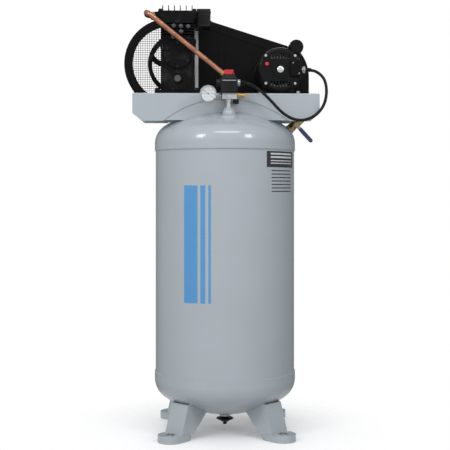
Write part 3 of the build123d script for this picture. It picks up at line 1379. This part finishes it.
ELBOW_R = 10.0
elbow_points = [elbow_top, (PORT_X, TUBE_Y, 1312), (PORT_X, TUBE_Y, 1222)]
elbow_dir = Vector(*elbow_points[1]) - Vector(*elbow_points[0])
with BuildPart() as check_valve:
    with BuildLine():
        FilletPolyline(*elbow_points, radius=22)
    with BuildSketch(Plane(origin=elbow_top, z_dir=elbow_dir)):
        Circle(ELBOW_R)
    sweep()
    with BuildSketch(facing(MANIFOLD_Y[1])):
        with Locations((PORT_X, 1240)):
            Circle(6)
    extrude(amount=MANIFOLD_Y[1] - TUBE_Y)
check_valve.part.label = "check_valve"
export_step(check_valve.part, "parts/check_valve.step")

# ---- outlet ball valve --------------------------------------------------------------
VALVE_START = OUTLET_BOSS
VALVE_LEN = 48.0
VALVE_MID = VALVE_START + VALVE_LEN / 2
VALVE_R = 15.0
VALVE_BORE_R = 7.0
MOUTH_DEPTH = 11.0
BALL_R = 12.5
STEM_R = 4.0
LEVER_LEN = 98.0
valve_plane = outlet_plane.offset(VALVE_START)
valve_mid = outlet_plane.offset(VALVE_MID).origin
with BuildPart() as ball_valve:
    with BuildSketch(valve_plane):
        Circle(VALVE_R)
    extrude(amount=VALVE_LEN)
    for hex_start in (0, VALVE_LEN - 12):
        with BuildSketch(valve_plane.offset(hex_start)):
            RegularPolygon(16.5, 6, major_radius=False)
        extrude(amount=12)
    with BuildSketch(facing(0)):
        with Locations((valve_mid.X, valve_mid.Z)):
            Circle(8)
    extrude(amount=21)
    with BuildSketch(valve_plane):
        Circle(VALVE_BORE_R)
    extrude(amount=VALVE_LEN, mode=Mode.SUBTRACT)
    with BuildSketch(valve_plane.offset(VALVE_LEN - MOUTH_DEPTH)):
        Circle(OUTLET_BORE_R)
    extrude(amount=MOUTH_DEPTH, mode=Mode.SUBTRACT)
    with Locations(valve_mid):
        Sphere(BALL_R + RUNNING, mode=Mode.SUBTRACT)
    with BuildSketch(facing(0)):
        with Locations((valve_mid.X, valve_mid.Z)):
            Circle(STEM_R + RUNNING)
    extrude(amount=22, mode=Mode.SUBTRACT)
ball_valve.part.label = "ball_valve"
export_step(ball_valve.part, "parts/ball_valve.step")

# Closed at rest: the lever stands across the flow, pointing down to the right.
lever_dir = Vector(OUTLET_DIR[2], 0, -OUTLET_DIR[0])
lever_plane = Plane(origin=(valve_mid.X, -24, valve_mid.Z), x_dir=lever_dir, z_dir=(0, -1, 0))
with BuildPart() as valve_lever:
    with Locations(valve_mid):
        Sphere(BALL_R)
    with BuildSketch(Plane(origin=valve_mid, z_dir=lever_dir)):
        Circle(VALVE_BORE_R)
    extrude(amount=BALL_R + 1, both=True, mode=Mode.SUBTRACT)
    with BuildSketch(facing(-9)):
        with Locations((valve_mid.X, valve_mid.Z)):
            Circle(STEM_R)
    extrude(amount=20)
    with BuildSketch(lever_plane):
        with Locations((LEVER_LEN / 2 - 6, 0)):
            SlotOverall(LEVER_LEN, 14)
    extrude(amount=3)
    with BuildSketch(lever_plane.offset(-1)):
        with Locations((LEVER_LEN - 40, 0)):
            SlotOverall(68, 15)
    extrude(amount=6)
valve_lever.part.label = "valve_lever"
export_step(valve_lever.part, "parts/valve_lever.step")

# ---- motor cable --------------------------------------------------------------------
# A free cable from the motor's gland to the switch's right connector.
cable_route = [
    (GLAND_FACE_X, GLAND_Y, MOTOR_Z),
    (320, -112, MOTOR_Z),
    (346, -114, 1334),
    (365, -121, 1310),
    (370, -137, 1268),
    (361, -154, 1222),
    (338, -165, 1186),
    (306, -172, 1164),
    (269, -178, 1155),
    (232, -183, 1163),
    (197, -187, 1186),
    (163, -190, 1223),
    (130, -192, 1256),
    (98, -193, 1279),
    (72, CONNECTOR_Y, CONNECTOR_Z),
    (CONNECTOR_FACE_X, CONNECTOR_Y, CONNECTOR_Z),
]


def bend_radii(route):
    """The largest tidy arc at each corner: 0.45 of its shorter run over tan(half turn)."""
    radii = []
    for before, corner, after in zip(route, route[1:], route[2:]):
        run_in = Vector(*corner) - Vector(*before)
        run_out = Vector(*after) - Vector(*corner)
        half_turn = math.radians(run_in.get_angle(run_out)) / 2
        radii.append(0.45 * min(run_in.length, run_out.length) / math.tan(half_turn))
    return radii


cable_radii = bend_radii(cable_route)
print("cable bend radii", [round(r, 1) for r in cable_radii])
with BuildPart() as motor_cable:
    with BuildLine() as cable_line:
        FilletPolyline(*cable_route, radius=cable_radii)
    with BuildSketch(Plane(origin=cable_route[0], z_dir=(1, 0, 0))):
        Circle(CABLE_R)
    sweep()
cable_length = sum(edge.length for edge in cable_line.edges())
print("cable length", round(cable_length, 1))
print("cable volume ratio", motor_cable.part.volume / (math.pi * CABLE_R**2 * cable_length))
motor_cable.part.label = "motor_cable"
export_step(motor_cable.part, "parts/motor_cable.step")
